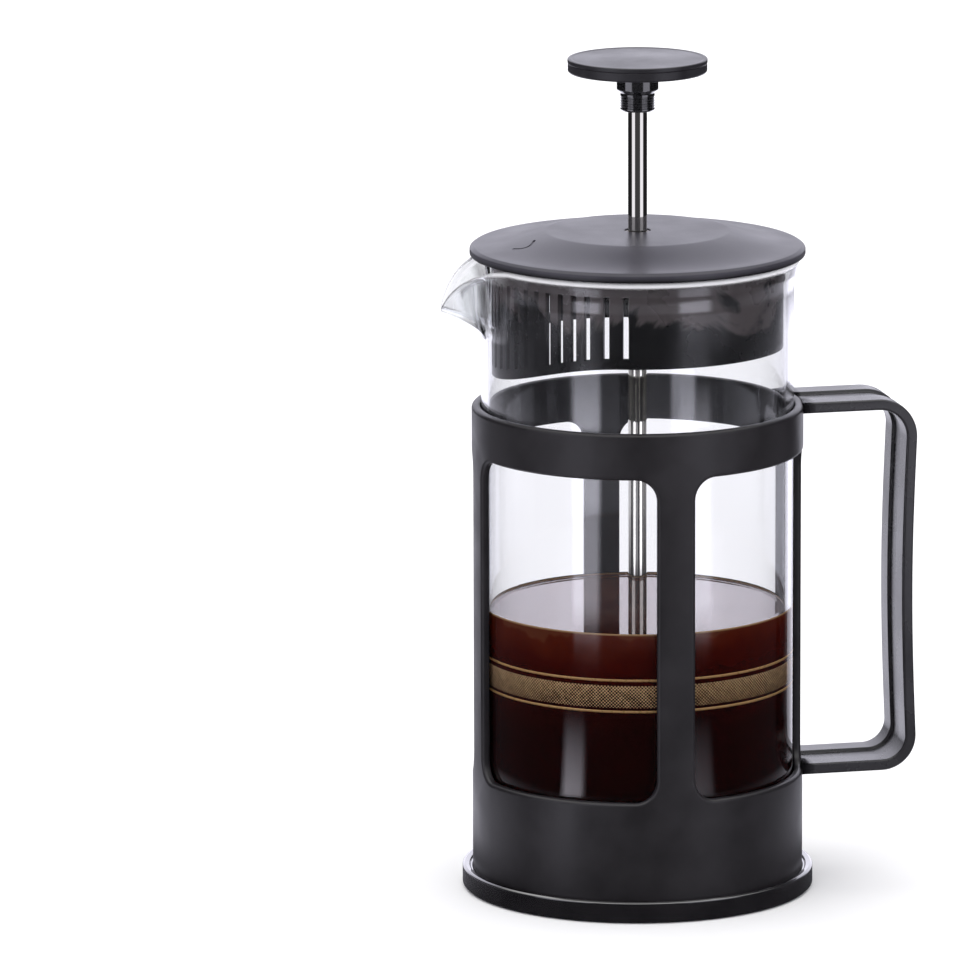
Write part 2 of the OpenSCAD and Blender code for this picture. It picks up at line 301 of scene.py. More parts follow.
def overlay(mat, amount, colour):
    """Lays a colour over the base colour of a material, as far as the amount says."""
    nt = mat.node_tree
    shader = nt.nodes["Principled BSDF"]
    mix = nt.nodes.new("ShaderNodeMix")
    mix.data_type = "RGBA"
    base = shader.inputs["Base Color"].links[0].from_socket
    nt.links.new(amount, mix.inputs["Factor"])
    nt.links.new(base, mix.inputs["A"])
    mix.inputs["B"].default_value = (*colour, 1)
    nt.links.new(mix.outputs["Result"], shader.inputs["Base Color"])


def height(nt, add):
    """Height above the floor, in metres."""
    split = add("ShaderNodeSeparateXYZ")
    nt.links.new(coordinates(nt, add), split.inputs["Vector"])
    return split.outputs["Z"]


def painted_reflection_haze(mat):
    """Paints a lighter grey, cloudy haze on the upper half of the strainer skirt: a painted reflection."""
    nt = mat.node_tree
    add = node_maker(nt)
    cloud = add("ShaderNodeTexNoise", Scale=27.0, Detail=6.0, Roughness=0.58, Distortion=1.2)
    nt.links.new(coordinates(nt, add, (1, 1, 0.7)), cloud.inputs["Vector"])
    rise = mapped(nt, add, height(nt, add), -0.20, 0.17, 0.176, 0.203)
    total = combined(nt, add, "ADD", cloud.outputs["Fac"], rise)
    overlay(mat, mapped(nt, add, total, 0.0, 1.0, 0.50, 0.56), (0.10, 0.084, 0.086))


def painted_rim_shade(mat):
    """Paints shade on the lid's rolled rim: near-black towards its lower edge."""
    nt = mat.node_tree
    add = node_maker(nt)
    amount = mapped(nt, add, height(nt, add), 1.0, 0.0, 203.8 * MM, 205.1 * MM)
    overlay(mat, amount, (0.006, 0.0055, 0.007))


def stain_and_highlight_edge(mat):
    """Paints a bright golden band on the outer edge of the filter's plates: partly the stain that coffee
    leaves, partly a painted highlight.
    """
    nt = mat.node_tree
    add = node_maker(nt)
    radius = add("ShaderNodeVectorMath", operation="LENGTH")
    nt.links.new(coordinates(nt, add, (1, 1, 0)), radius.inputs[0])
    amount = mapped(nt, add, radius.outputs["Value"], 0.0, 1.0, 46.5 * MM, 47.0 * MM)
    # Coffee stain and painted highlight: bright gold, and less metallic so that it shows bright.
    overlay(mat, amount, (0.85, 0.52, 0.22))
    bare = mapped(nt, add, amount, 1.0, 0.3, 0.0, 1.0)
    nt.links.new(bare, nt.nodes["Principled BSDF"].inputs["Metallic"])


def metal(name, colour, rough, spread, streak, bump=0.02, anisotropic=0.0):
    """Bare metal with fine turning or drawing marks along its streak direction."""
    mat, nt, shader, add = new_material(name)
    place = coordinates(nt, add, streak)
    lines = add("ShaderNodeTexNoise", Scale=900.0, Detail=4.0, Roughness=0.7)
    nt.links.new(place, lines.inputs["Vector"])
    shade = [tuple(c * k for c in colour) for k in (0.88, 1.0)]
    tint = colour_ramp(nt, add, lines.outputs["Fac"], [(0.3, shade[0]), (0.7, shade[1])])
    nt.links.new(tint, shader.inputs["Base Color"])
    gloss = mapped(nt, add, lines.outputs["Fac"], rough - spread, rough + spread)
    nt.links.new(gloss, shader.inputs["Roughness"])
    bumps = add("ShaderNodeBump", Strength=bump, Distance=0.00005)
    nt.links.new(lines.outputs["Fac"], bumps.inputs["Height"])
    nt.links.new(bumps.outputs["Normal"], shader.inputs["Normal"])
    shader.inputs["Metallic"].default_value = 1.0
    shader.inputs["Anisotropic"].default_value = anisotropic
    return mat


def glass_material():
    """Clear, faintly wavy glass that casts no dark shadow, with a painted highlight of pale white on its rim
    and a thin lip.
    """
    mat, nt, shader, add = new_material("clear_glass")
    shader.inputs["Base Color"].default_value = (0.985, 0.99, 0.995, 1)
    shader.inputs["Roughness"].default_value = 0.0
    shader.inputs["IOR"].default_value = 1.47
    shader.inputs["Transmission Weight"].default_value = 1.0
    place = coordinates(nt, add, (1, 1, 0.35))
    wave = add("ShaderNodeTexNoise", Scale=35.0, Detail=1.0)
    nt.links.new(place, wave.inputs["Vector"])
    bumps = add("ShaderNodeBump", Strength=0.05, Distance=0.0003)
    nt.links.new(wave.outputs["Fac"], bumps.inputs["Height"])
    nt.links.new(bumps.outputs["Normal"], shader.inputs["Normal"])
    clear = add("ShaderNodeBsdfTransparent", Color=(0.95, 0.96, 0.97, 1))
    pale = add("ShaderNodeBsdfDiffuse", Color=(0.98, 0.98, 1.0, 1))
    drawn = add("ShaderNodeAttribute", attribute_name=DRAWN).outputs["Fac"]
    rim_highlight = add("ShaderNodeAttribute", attribute_name=RIM_HIGHLIGHT).outputs["Fac"]
    shadow = add("ShaderNodeLightPath").outputs["Is Shadow Ray"]
    glass = mixed_shader(nt, add, drawn, shader.outputs["BSDF"], clear.outputs["BSDF"])
    # Painted highlight: pale white diffuse mixed in along the rim.
    glass = mixed_shader(nt, add, rim_highlight, glass, pale.outputs["BSDF"])
    glass = mixed_shader(nt, add, shadow, glass, clear.outputs["BSDF"])
    nt.links.new(glass, nt.nodes["Material Output"].inputs["Surface"])
    return mat


def coffee_material():
    """Black coffee, with painted light: red-brown near the surface for light that shines through it there,
    nearly black below, and a painted golden highlight where it climbs the glass.
    """
    mat, nt, shader, add = new_material("coffee")
    level = height(nt, add)
    slow = add("ShaderNodeTexNoise", Scale=45.0, Detail=3.0)
    nt.links.new(coordinates(nt, add), slow.inputs["Vector"])
    drift = mapped(nt, add, slow.outputs["Fac"], -4 * MM, 4 * MM)
    depth = mapped(nt, add, combined(nt, add, "ADD", level, drift), 0.0, 1.0, 10 * MM, COFFEE_TOP)
    # Painted light: red-brown and lighter towards the surface, nearly black deeper down.
    stops = [
        (0.0, (0.012, 0.0004, 0.0003)),
        (0.62, (0.014, 0.0004, 0.0003)),
        (0.80, (0.036, 0.0016, 0.0004)),
        (0.90, (0.058, 0.0030, 0.0006)),
        (0.99, (0.095, 0.011, 0.0025)),
        (1.0, (0.12, 0.03, 0.012)),
    ]
    nt.links.new(colour_ramp(nt, add, depth, stops), shader.inputs["Base Color"])
    # Painted highlight: pale gold along the edge that climbs the glass.
    painted_edge_highlight = mapped(nt, add, level, 0.0, 0.5, COFFEE_TOP + 0.2 * MM, COFFEE_TOP + 0.7 * MM)
    overlay(mat, painted_edge_highlight, (0.85, 0.60, 0.30))
    gloss = mapped(nt, add, slow.outputs["Fac"], 0.03, 0.09)
    nt.links.new(gloss, shader.inputs["Roughness"])
    shader.inputs["IOR"].default_value = 1.38
    shader.inputs["Specular Tint"].default_value = (1, 0.92, 0.89, 1)
    shader.inputs["Coat Weight"].default_value = 0.5
    shader.inputs["Coat Roughness"].default_value = 0.03
    shader.inputs["Coat Tint"].default_value = (1, 0.92, 0.89, 1)
    return mat


def mesh_material():
    """Woven stainless wire, stained gold-brown: wires round and down, by angle and height."""
    mat, nt, shader, add = new_material("wire_mesh")
    place = coordinates(nt, add)
    split = add("ShaderNodeSeparateXYZ")
    nt.links.new(place, split.inputs["Vector"])
    angle = combined(nt, add, "ARCTAN2", split.outputs["Y"], split.outputs["X"])
    waves = []
    for source, pitch in ((angle, 2 * math.pi / MESH_WIRES), (split.outputs["Z"], MESH_PITCH)):
        phase = add("ShaderNodeMath", operation="MULTIPLY")
        phase.inputs[1].default_value = 2 * math.pi / pitch
        nt.links.new(source, phase.inputs[0])
        sine = add("ShaderNodeMath", operation="SINE")
        nt.links.new(phase.outputs[0], sine.inputs[0])
        waves.append(sine.outputs[0])
    weave = combined(nt, add, "MULTIPLY", *waves)
    stain = add("ShaderNodeTexNoise", Scale=700.0, Detail=3.0)
    nt.links.new(place, stain.inputs["Vector"])
    patches = mapped(nt, add, stain.outputs["Fac"], -0.13, 0.13)
    rise = mapped(nt, add, split.outputs["Z"], -0.15, 0.14, MESH_Z, MESH_TOP)
    level = mapped(nt, add, weave, 0.0, 1.0, -1.0, 1.0)
    for extra in (patches, rise):
        level = combined(nt, add, "ADD", level, extra)
    stops = [(0.36, (0.03, 0.010, 0.002)), (0.5, (0.24, 0.105, 0.034)), (0.66, (1.0, 0.68, 0.38))]
    nt.links.new(colour_ramp(nt, add, level, stops), shader.inputs["Base Color"])
    bumps = add("ShaderNodeBump", Strength=0.8, Distance=0.0003)
    nt.links.new(level, bumps.inputs["Height"])
    nt.links.new(bumps.outputs["Normal"], shader.inputs["Normal"])
    nt.links.new(mapped(nt, add, level, 0.5, 0.35, 0.0, 1.0), shader.inputs["Roughness"])
    shader.inputs["Metallic"].default_value = 0.6
    return mat


HOLDER = plastic(
    "holder_plastic", (0.011, 0.0096, 0.0115), (0.018, 0.0160, 0.019),
    rough=0.39, spread=0.06, grain=0.5 * MM, bump=0.2, specular=0.44,
)
BASE = plastic(
    "base_plastic", (0.006, 0.0055, 0.0065), (0.011, 0.010, 0.0115),
    rough=0.11, spread=0.04, grain=1.5 * MM, bump=0.02, specular=0.9, coat=1.0,
)
GRIP = plastic(
    "handle_plastic", (0.018, 0.0175, 0.020), (0.027, 0.026, 0.030),
    rough=0.27, spread=0.05, grain=0.6 * MM, bump=0.15, specular=0.45,
)
LID = plastic(
    "lid_plastic", (0.034, 0.032, 0.042), (0.044, 0.042, 0.053),
    rough=0.36, spread=0.04, grain=0.35 * MM, bump=0.14, specular=0.3,
)
# Painted shade: the lid's rim turns near-black towards its lower edge.
painted_rim_shade(LID)
SKIRT = plastic(
    "strainer_plastic", (0.003, 0.0026, 0.003), (0.006, 0.0055, 0.006),
    rough=0.28, spread=0.08, grain=0.8 * MM, bump=0.1,
)
# Painted reflection: a lighter cloudy haze over the skirt's upper half.
painted_reflection_haze(SKIRT)
KNOB = plastic(
    "knob_plastic", (0.012, 0.011, 0.014), (0.022, 0.021, 0.025),
    rough=0.34, spread=0.06, grain=0.4 * MM, bump=0.15, specular=0.4,
)
COLLAR = plastic(
    "collar_plastic", (0.006, 0.006, 0.007), (0.010, 0.010, 0.011),
    rough=0.10, spread=0.03, grain=1.5 * MM, bump=0.03, specular=1.0, coat=1.0,
)
RUBBER = plastic(
    "silicone", (0.28, 0.28, 0.29), (0.36, 0.36, 0.37),
    rough=0.6, spread=0.05, grain=0.5 * MM, bump=0.2,
)
STEEL = metal("polished_steel", (0.93, 0.91, 0.83), 0.03, 0.015, (1, 1, 0.02), 0.012)
PLATE = metal("filter_steel", (0.66, 0.63, 0.57), 0.3, 0.06, (1, 1, 1), 0.005)
stain_and_highlight_edge(PLATE)
BRASS = metal("insert_brass", (0.78, 0.58, 0.27), 0.3, 0.08, (0.05, 0.05, 1))
WIRE = mesh_material()
GLASS = glass_material()
COFFEE = coffee_material()


# ---------------------------------------------------------------- holder


def window_outline(grow, side_steps=18, height_steps=16, corner_steps=12):
    """One window's rounded outline as (arc length from its middle, z), grown by a margin."""
    half = CAGE_R * math.pi / 4 - POST_W / 2 + grow
    z0, z1 = SILL_Z - grow, HEAD_Z + grow
    r = WINDOW_CORNER + grow
    corners = ((half - r, z1 - r, 0), (r - half, z1 - r, 1), (r - half, z0 + r, 2), (half - r, z0 + r, 3))
    steps = (side_steps, height_steps)
    out = []
    for index, (cx, cz, quarter) in enumerate(corners):
        arc = []
        for k in range(corner_steps + 1):
            a = math.pi / 2 * (quarter + k / corner_steps)
            arc.append((cx + r * math.cos(a), cz + r * math.sin(a)))
        out += arc
        nx, nz, nq = corners[(index + 1) % 4]
        a = math.pi / 2 * nq
        start, end = arc[-1], (nx + r * math.cos(a), nz + r * math.sin(a))
        count = steps[index % 2]
        for k in range(1, count):
            t = k / count
            out.append((start[0] + (end[0] - start[0]) * t, start[1] + (end[1] - start[1]) * t))
    return out


def cell_outline(z0, z1, side_steps=18, height_steps=16, corner_steps=12):
    """The rectangle round one window, with a point for each point of window_outline."""
    inner = window_outline(0, side_steps, height_steps, corner_steps)
    half = CAGE_R * math.pi / 4
    straight = max(p[0] for p in inner) - WINDOW_CORNER
    lift = HEAD_Z - WINDOW_CORNER
    drop = SILL_Z + WINDOW_CORNER
    out = []
    legs = corner_steps // 2
    corners = (
        ((half, lift), (half, z1), (straight, z1)),
        ((-straight, z1), (-half, z1), (-half, lift)),
        ((-half, drop), (-half, z0), (-straight, z0)),
        ((straight, z0), (half, z0), (half, drop)),
    )
    steps = (side_steps, height_steps)
    for index, (a, b, c) in enumerate(corners):
        for k in range(corner_steps + 1):
            p, q, t = (a, b, k / legs) if k <= legs else (b, c, (k - legs) / legs)
            out.append((p[0] + (q[0] - p[0]) * t, p[1] + (q[1] - p[1]) * t))
        nxt = corners[(index + 1) % 4][0]
        count = steps[index % 2]
        for k in range(1, count):
            t = k / count
            out.append((c[0] + (nxt[0] - c[0]) * t, c[1] + (nxt[1] - c[1]) * t))
    return out


def frame_cage():
    """The moulded holder: four rounded windows between posts, a rolled top edge, a floor ledge."""
    z0, z1 = 30 * MM, 147 * MM
    outer_edge, inner_edge, steps = 1.3 * MM, 0.6 * MM, 5
    rings = [("cell", CAGE_R)]
    for k in range(steps + 1):
        a = math.pi / 2 * k / steps
        rings.append((outer_edge * (1 - math.sin(a)), CAGE_R - outer_edge * (1 - math.cos(a))))
    for k in range(steps + 1):
        a = math.pi / 2 * k / steps
        rings.append((inner_edge * (1 - math.cos(a)), CAGE_IN + inner_edge * (1 - math.sin(a))))
    rings.append(("cell", CAGE_IN))
    cell = cell_outline(z0, z1)
    verts, faces = [], []
    for quarter in range(4):
        middle = math.pi / 4 + quarter * math.pi / 2
        rows = []
        for margin, r in rings:
            points = cell if margin == "cell" else window_outline(margin)
            row = []
            for s, z in points:
                a = middle + s / CAGE_R
                row.append(len(verts))
                verts.append((r * math.cos(a), r * math.sin(a), z))
            rows.append(row)
        faces += loops_to_faces(rows)
    for z_edge, profile in (
        (z1, [(CAGE_R, z1)] + lip_profile() + [(CAGE_IN, z1)]),
        (z0, [(CAGE_R, z0)] + foot_profile() + [(CAGE_IN, z0)]),
    ):
        spread = sorted({round(s, 9) for s, z in cell if abs(z - z_edge) < 1e-9})
        angles = [math.pi / 4 + q * math.pi / 2 + s / CAGE_R for q in range(4) for s in spread[:-1]]
        rows = []
        for r, z in profile:
            rows.append(list(range(len(verts), len(verts) + len(angles))))
            verts += [(r * math.cos(a), r * math.sin(a), z) for a in angles]
        faces += loops_to_faces(rows)
    obj = mesh_object("frame_cage_shell", verts, faces, "holder", HOLDER, ["frame_cage"])
    weighted(obj)


def lip_profile():
    """Section of the ring's top edge, from the outside over to the inside."""
    start_z = RING_Z - 5.5 * MM
    corners = [
        (CAGE_R, start_z, 0), (CAGE_R, RING_Z, 1.6 * MM), (CAGE_IN, RING_Z, 0.9 * MM), (CAGE_IN, start_z, 0),
    ]
    return rounded(corners, 6, closed=False)


def foot_profile():
    """Section of the cup's foot and its inward ledge, from the outside round to the inside."""
    outer, inner = CAGE_R / MM, CAGE_IN / MM
    corners = [
        (outer, 24, 0), (outer, 2.6, 0.4), (outer - 2, 2.6, 0.3), (outer - 2, 4, 0.3), (33, 4, 0.6),
        (33, 6.5, 0.6), (inner, 6.5, 1.5), (inner, 24, 0),
    ]
    return [(r * MM, z * MM) for r, z in rounded(corners, 4, closed=False)]


def base_flange():
    """The glossy dish: rounded rim, a groove round the holder and a flat foot."""
    foot, top, well = BASE_R / MM, BASE_H / MM, CAGE_R / MM + 0.2
    corners = [
        (0, 0, 0), (foot - 0.8, 0, 0.4), (foot, 0.8, 0.4), (foot, top - 0.5, 0.5), (foot - 0.8, top, 0.6),
        (well + 0.8, top - 0.2, 0.6), (well + 0.6, top - 1, 0.15), (well, top - 1, 0.1), (well, 2.5, 0.1),
        (0, 2.5, 0),
    ]
    revolve("base_flange_dish", corners, "holder", BASE, ["base_flange"], "base_plastic")


def strap_line(off, steps=40):
    """Points and outward directions along the strap, at a distance from its middle line."""
    half = HANDLE_T / 2
    top_z, low_z = RING_Z - half, HANDLE_LOW + half
    rt, rl = 12.5 * MM - half, 11 * MM - half
    grip_x = HANDLE_X - half
    x0 = CAGE_R - 0.6 * MM
    z1, z0 = top_z - rt, low_z + rl
    bow = 1.3 * MM
    points = []
    for k in range(9):
        points.append(Vector((x0 + (grip_x - rt - x0) * k / 8, 0, top_z)))
    for k in range(1, 17):
        a = math.pi / 2 * (1 - k / 16)
        points.append(Vector((grip_x - rt + rt * math.cos(a), 0, z1 + rt * math.sin(a))))
    for k in range(1, steps):
        t = k / steps
        points.append(Vector((grip_x - bow * math.sin(math.pi * t), 0, z1 + (z0 - z1) * t)))
    for k in range(17):
        a = -math.pi / 2 * k / 16
        points.append(Vector((grip_x - rl + rl * math.cos(a), 0, z0 + rl * math.sin(a))))
    for k in range(1, 9):
        points.append(Vector((grip_x - rl + (x0 - grip_x + rl) * k / 8, 0, low_z)))
    out = []
    for i, p in enumerate(points):
        along = (points[min(i + 1, len(points) - 1)] - points[max(i - 1, 0)]).normalized()
        normal = Vector((-along.z, 0, along.x))
        out.append((p + normal * off, normal))
    return out


def handle():
    """The grooved strap, as one sweep of its section along the side view."""
    w, h = HANDLE_W / 2, HANDLE_T / 2
    g, d = 4.75 * MM, 0.9 * MM
    r = 0.8 * MM
    section = [
        (w, h, r), (g + 0.3 * MM, h, 0.4 * MM), (g - 0.2 * MM, h - d, 0.3 * MM),
        (-g + 0.2 * MM, h - d, 0.3 * MM), (-g - 0.3 * MM, h, 0.4 * MM), (-w, h, r),
        (-w, -h, r), (-g - 0.3 * MM, -h, 0.4 * MM), (-g + 0.2 * MM, d - h, 0.3 * MM),
        (g - 0.2 * MM, d - h, 0.3 * MM), (g + 0.3 * MM, -h, 0.4 * MM), (w, -h, r),
    ]
    outline = rounded(section, 5)
    verts, rows = [], []
    for p, normal in strap_line(0):
        rows.append(list(range(len(verts), len(verts) + len(outline))))
        verts += [p + Vector((0, y, 0)) + normal * n for y, n in outline]
    for index in rows[0] + rows[-1]:
        y, z = verts[index].yz
        verts[index] = Vector((math.sqrt((CAGE_R - 0.3 * MM) ** 2 - y * y), y, z))
    faces = loops_to_faces(rows) + [tuple(rows[0]), tuple(reversed(rows[-1]))]
    obj = mesh_object("handle_strap", verts, faces, "holder", GRIP, ["handle"])
    weighted(obj)


# ---------------------------------------------------------------- beaker


def lip_reach(alpha):
    """How far the pouring lip is drawn out at an angle from its middle, and how far it droops."""
    u = min(1.0, abs(alpha) / LIP_HALF_ANGLE)
    soft = math.sqrt(u * u + 0.03**2) - 0.03
    reach = max(0.0, 1 - soft) ** 1.5
    droop = math.exp(-u / 0.27) - math.exp(-1 / 0.27) * u
    return reach, max(0.0, droop)


def glass_wall_point(theta, t):
    """Middle of the glass at an angle, with t from 0 at the floor's centre to 1 at the rim."""
    mid_r = GLASS_R - GLASS_T / 2
    heel = 5.8 * MM
    floor_z = GLASS_Z + 1.4 * MM
    if t <= 0.2:
        return (mid_r - heel) * t / 0.2, floor_z
    if t <= 0.3:
        a = math.pi / 2 * (t - 0.2) / 0.1
        return mid_r - heel + heel * math.sin(a), floor_z + heel * (1 - math.cos(a))
    if t <= 0.6:
        return mid_r, floor_z + heel + (LIP_START_Z - floor_z - heel) * (t - 0.3) / 0.3
    s = (t - 0.6) / 0.4
    alpha = math.atan2(math.sin(theta - math.pi), math.cos(theta - math.pi))
    reach, droop = lip_reach(alpha)
    flare = 1.3 * MM * max(0.0, (s - 0.6) / 0.4) ** 2
    rim_z = RIM_Z - 1.4 * MM - LIP_DROOP * droop
    r = mid_r + flare * (1 - reach) + (LIP_R - mid_r) * reach * s**1.6
    rise = s if reach <= 0 else s + (s**0.85 - s) * reach
    return r, LIP_START_Z + (rim_z - LIP_START_Z) * rise


def glass_half_thickness(theta, t):
    """Half the thickness of the glass: a thicker floor, a bead at the rim and a thin lip."""
    reach = lip_reach(math.atan2(math.sin(theta - math.pi), math.cos(theta - math.pi)))[0]
    if t < 0.2:
        return 1.4 * MM
    bead = 0.2 * max(0.0, (t - 0.94) / 0.06) * (1 - min(1, 3 * reach))
    thin = 0.5 * max(0.0, (t - 0.7) / 0.3) * min(1, 1.6 * reach)
    return (1.2 + bead - thin) * MM


def glass_angles():
    """Angles round the glass, closer together across the pouring lip."""
    lip = [math.pi + math.radians(26) * math.copysign(abs(k / 40) ** 1.6, k) for k in range(-40, 41)]
    rest = [lip[-1] + (2 * math.pi - math.radians(52)) * k / 150 for k in range(1, 150)]
    return lip + rest


def glass_beaker():
    """The glass: a shell of real thickness with a rounded rim and a drawn pouring lip."""
    angles = glass_angles()
    ts = [0.0, 0.05, 0.1, 0.15, 0.19] + [0.2 + 0.01 * k for k in range(11)]
    ts += [0.35, 0.4, 0.45, 0.5, 0.55] + [0.6 + 0.4 * k / 40 for k in range(41)]
    n, m = len(angles), len(ts)
    mid = np.zeros((n, m, 3))
    for i, a in enumerate(angles):
        for j, t in enumerate(ts):
            r, z = glass_wall_point(a, t)
            mid[i, j] = (r * math.cos(a), r * math.sin(a), z)
    up = np.gradient(mid, axis=1)
    ahead, behind = np.roll(mid, -1, 0), np.roll(mid, 1, 0)
    around = ahead - behind
    around[:, 0] = np.stack([[-math.sin(a), math.cos(a), 0] for a in angles])
    normal = np.cross(around, up)
    normal /= np.linalg.norm(normal, axis=2, keepdims=True)
    up /= np.linalg.norm(up, axis=2, keepdims=True)
    normal[:, 0] = (0, 0, -1)
    thick = np.array([[glass_half_thickness(a, t) for t in ts] for a in angles])
    outer = mid + normal * thick[:, :, None]
    inner = mid - normal * thick[:, :, None]
    bead = thick[:, -1, None]
    rows = [outer[:, j] for j in range(1, m)]
    for k in range(1, 8):
        a = math.pi * k / 8
        rows.append(mid[:, -1] + (normal[:, -1] * math.cos(a) + up[:, -1] * math.sin(a)) * bead)
    rows += [inner[:, j] for j in range(m - 1, 0, -1)]
    verts = [outer[:, 0].mean(0)] + [p for row in rows for p in row] + [inner[:, 0].mean(0)]
    index = [list(range(1 + i * n, 1 + (i + 1) * n)) for i in range(len(rows))]
    faces = loops_to_faces(index)
    last = len(verts) - 1
    faces += [(0, index[0][(k + 1) % n], index[0][k]) for k in range(n)]
    faces += [(last, index[-1][k], index[-1][(k + 1) % n]) for k in range(n)]
    obj = mesh_object("glass_beaker_blown", verts, faces, "beaker", GLASS, ["glass_beaker"])
    mark_glass(obj)


def mark_glass(obj):
    """Marks where the glass's rim gets its painted highlight, and the drawn lip below it, at the glass's own
    points.
    """
    obj.data.attributes.new(RIM_HIGHLIGHT, "FLOAT", "POINT")
    obj.data.attributes.new(DRAWN, "FLOAT", "POINT")
    rim_highlight, drawn = (obj.data.attributes[name].data for name in (RIM_HIGHLIGHT, DRAWN))
    for vert, edge, lip in zip(obj.data.vertices, rim_highlight, drawn):
        theta = math.atan2(vert.co.y, vert.co.x)
        height = vert.co.z - glass_wall_point(theta, 1)[1]
        reach = lip_reach(math.atan2(-vert.co.y, -vert.co.x))[0]
        # The painted highlight is weaker across the pouring lip.
        most = 1.0 - 0.75 * min(1.0, 4 * reach)
        edge.value = most * max(0.0, min(1.0, (height + 0.4 * MM) / (0.7 * MM)))
        above = max(0.0, min(1.0, (vert.co.z - 180 * MM) / (6 * MM)))
        below_rim = max(0.0, min(1.0, (-height - 0.5 * MM) / (0.5 * MM)))
        lip.value = 0.7 * above * below_rim * min(1.0, 4 * reach)


def coffee():
    """The coffee, as one closed body that wets the glass, with a climbed edge at the wall."""
    side = GLASS_IN / MM + 0.08
    top = COFFEE_TOP / MM
    floor = GLASS_Z / MM + 2.9
    corners = [
        (0, floor, 0), (side - 4.6, floor, 0), (side - 1.6, floor + 1.6, 1), (side, floor + 4.6, 2),
        (side, top + 0.9, 0), (side - 0.5, top + 0.25, 0.5), (side - 2.2, top, 1.0), (0, top, 0),
    ]
    revolve("coffee", corners, "beaker", COFFEE, segments=192)


# ---------------------------------------------------------------- lid


def lid_height(r):
    """Upper surface of the lid at a radius."""
    t = max(0.0, min(1.0, (LID_R - 3 * MM - r) / (LID_R - 3 * MM - LID_FLAT_R)))
    return LID_SHOULDER + (LID_TOP - LID_SHOULDER) * t * t * (2 - t)


def lid_cover():
    """The lid: flat middle, a hollow slope out to a rolled rim, and the pouring mark."""
    hole = 4.05
    top = [(r, lid_height(r * MM) / MM, 0) for r in np.linspace(28.5, 49.9, 22)]
    under = [(r, lid_height(r * MM) / MM - 2, 0) for r in np.linspace(46, 28.5, 12)]
    corners = [(hole, 210.9, 0.4)] + top
    corners += [(51.7, 206.3, 0.9), (52.9, 205.5, 0.8), (52.9, 203.4, 0.5)]
    corners += [(50, 203.4, 0.3), (49, 205.0, 0.5)]
    corners += under + [(hole, 208.9, 0.2)]
    obj = revolve("lid_cover_shell", corners, "lid", LID, ["lid_cover"], "lid_plastic", segments=240)
    cut(obj, pouring_mark())


def pouring_mark():
    """A cutter along the short curved line that is engraved in the lid beside the lip."""
    start, bend, end = (Vector(p) * MM for p in ((-41.4, -4.9, 0), (-37.3, -11.5, 0), (-34.0, -2.7, 0)))
    steps, sides, radius = 16, 10, 0.5 * MM
    cutter = bmesh.new()
    rings = []
    for k in range(steps + 1):
        t = k / steps
        p = start * (1 - t) ** 2 + bend * 2 * t * (1 - t) + end * t * t
        along = (bend - start) * (1 - t) + (end - bend) * t
        side = Vector((-along.y, along.x, 0)).normalized() * radius
        rise = Vector((0, 0, radius))
        p.z = lid_height(p.length) + 0.1 * MM
        turns = [2 * math.pi * i / sides for i in range(sides)]
        rings.append([cutter.verts.new(p + side * math.cos(a) + rise * math.sin(a)) for a in turns])
    for a, b in zip(rings, rings[1:]):
        for i in range(sides):
            cutter.faces.new((a[i], a[(i + 1) % sides], b[(i + 1) % sides], b[i]))
    cutter.faces.new(rings[0])
    cutter.faces.new(rings[-1])
    bmesh.ops.recalc_face_normals(cutter, faces=cutter.faces)
    return cutter


def lid_bush():
    """The rod's guide: a low collar in the middle of the lid with its flange under it."""
    corners = [
        (3.05, 210.5, 0.3), (4, 210.5, 0.2), (4, 207.9, 0.1), (5.4, 207.9, 0.2), (5.4, 207.1, 0.2),
        (3.05, 207.1, 0.2),
    ]
    revolve("lid_bush_collar", corners, "guide", SKIRT, ["lid_bush"], "strainer_plastic", segments=96)


def skirt_edge(alpha):
    """Height of the skirt's lower edge at an angle from the pouring lip."""
    a = abs(math.degrees(alpha))
    return (175 - (8.6 * (1 + math.cos(math.pi * a / 70)) / 2 if a < 70 else 0)) * MM


def slot_angles():
    """Angles of the slots from the lip. The last two on each side stand wider apart."""
    out = []
    for i in range(-12, 13):
        extra = 1.93 * max(0, abs(i) - 10)
        out.append(math.radians(5.67 * i + math.copysign(extra, i)))
    return out


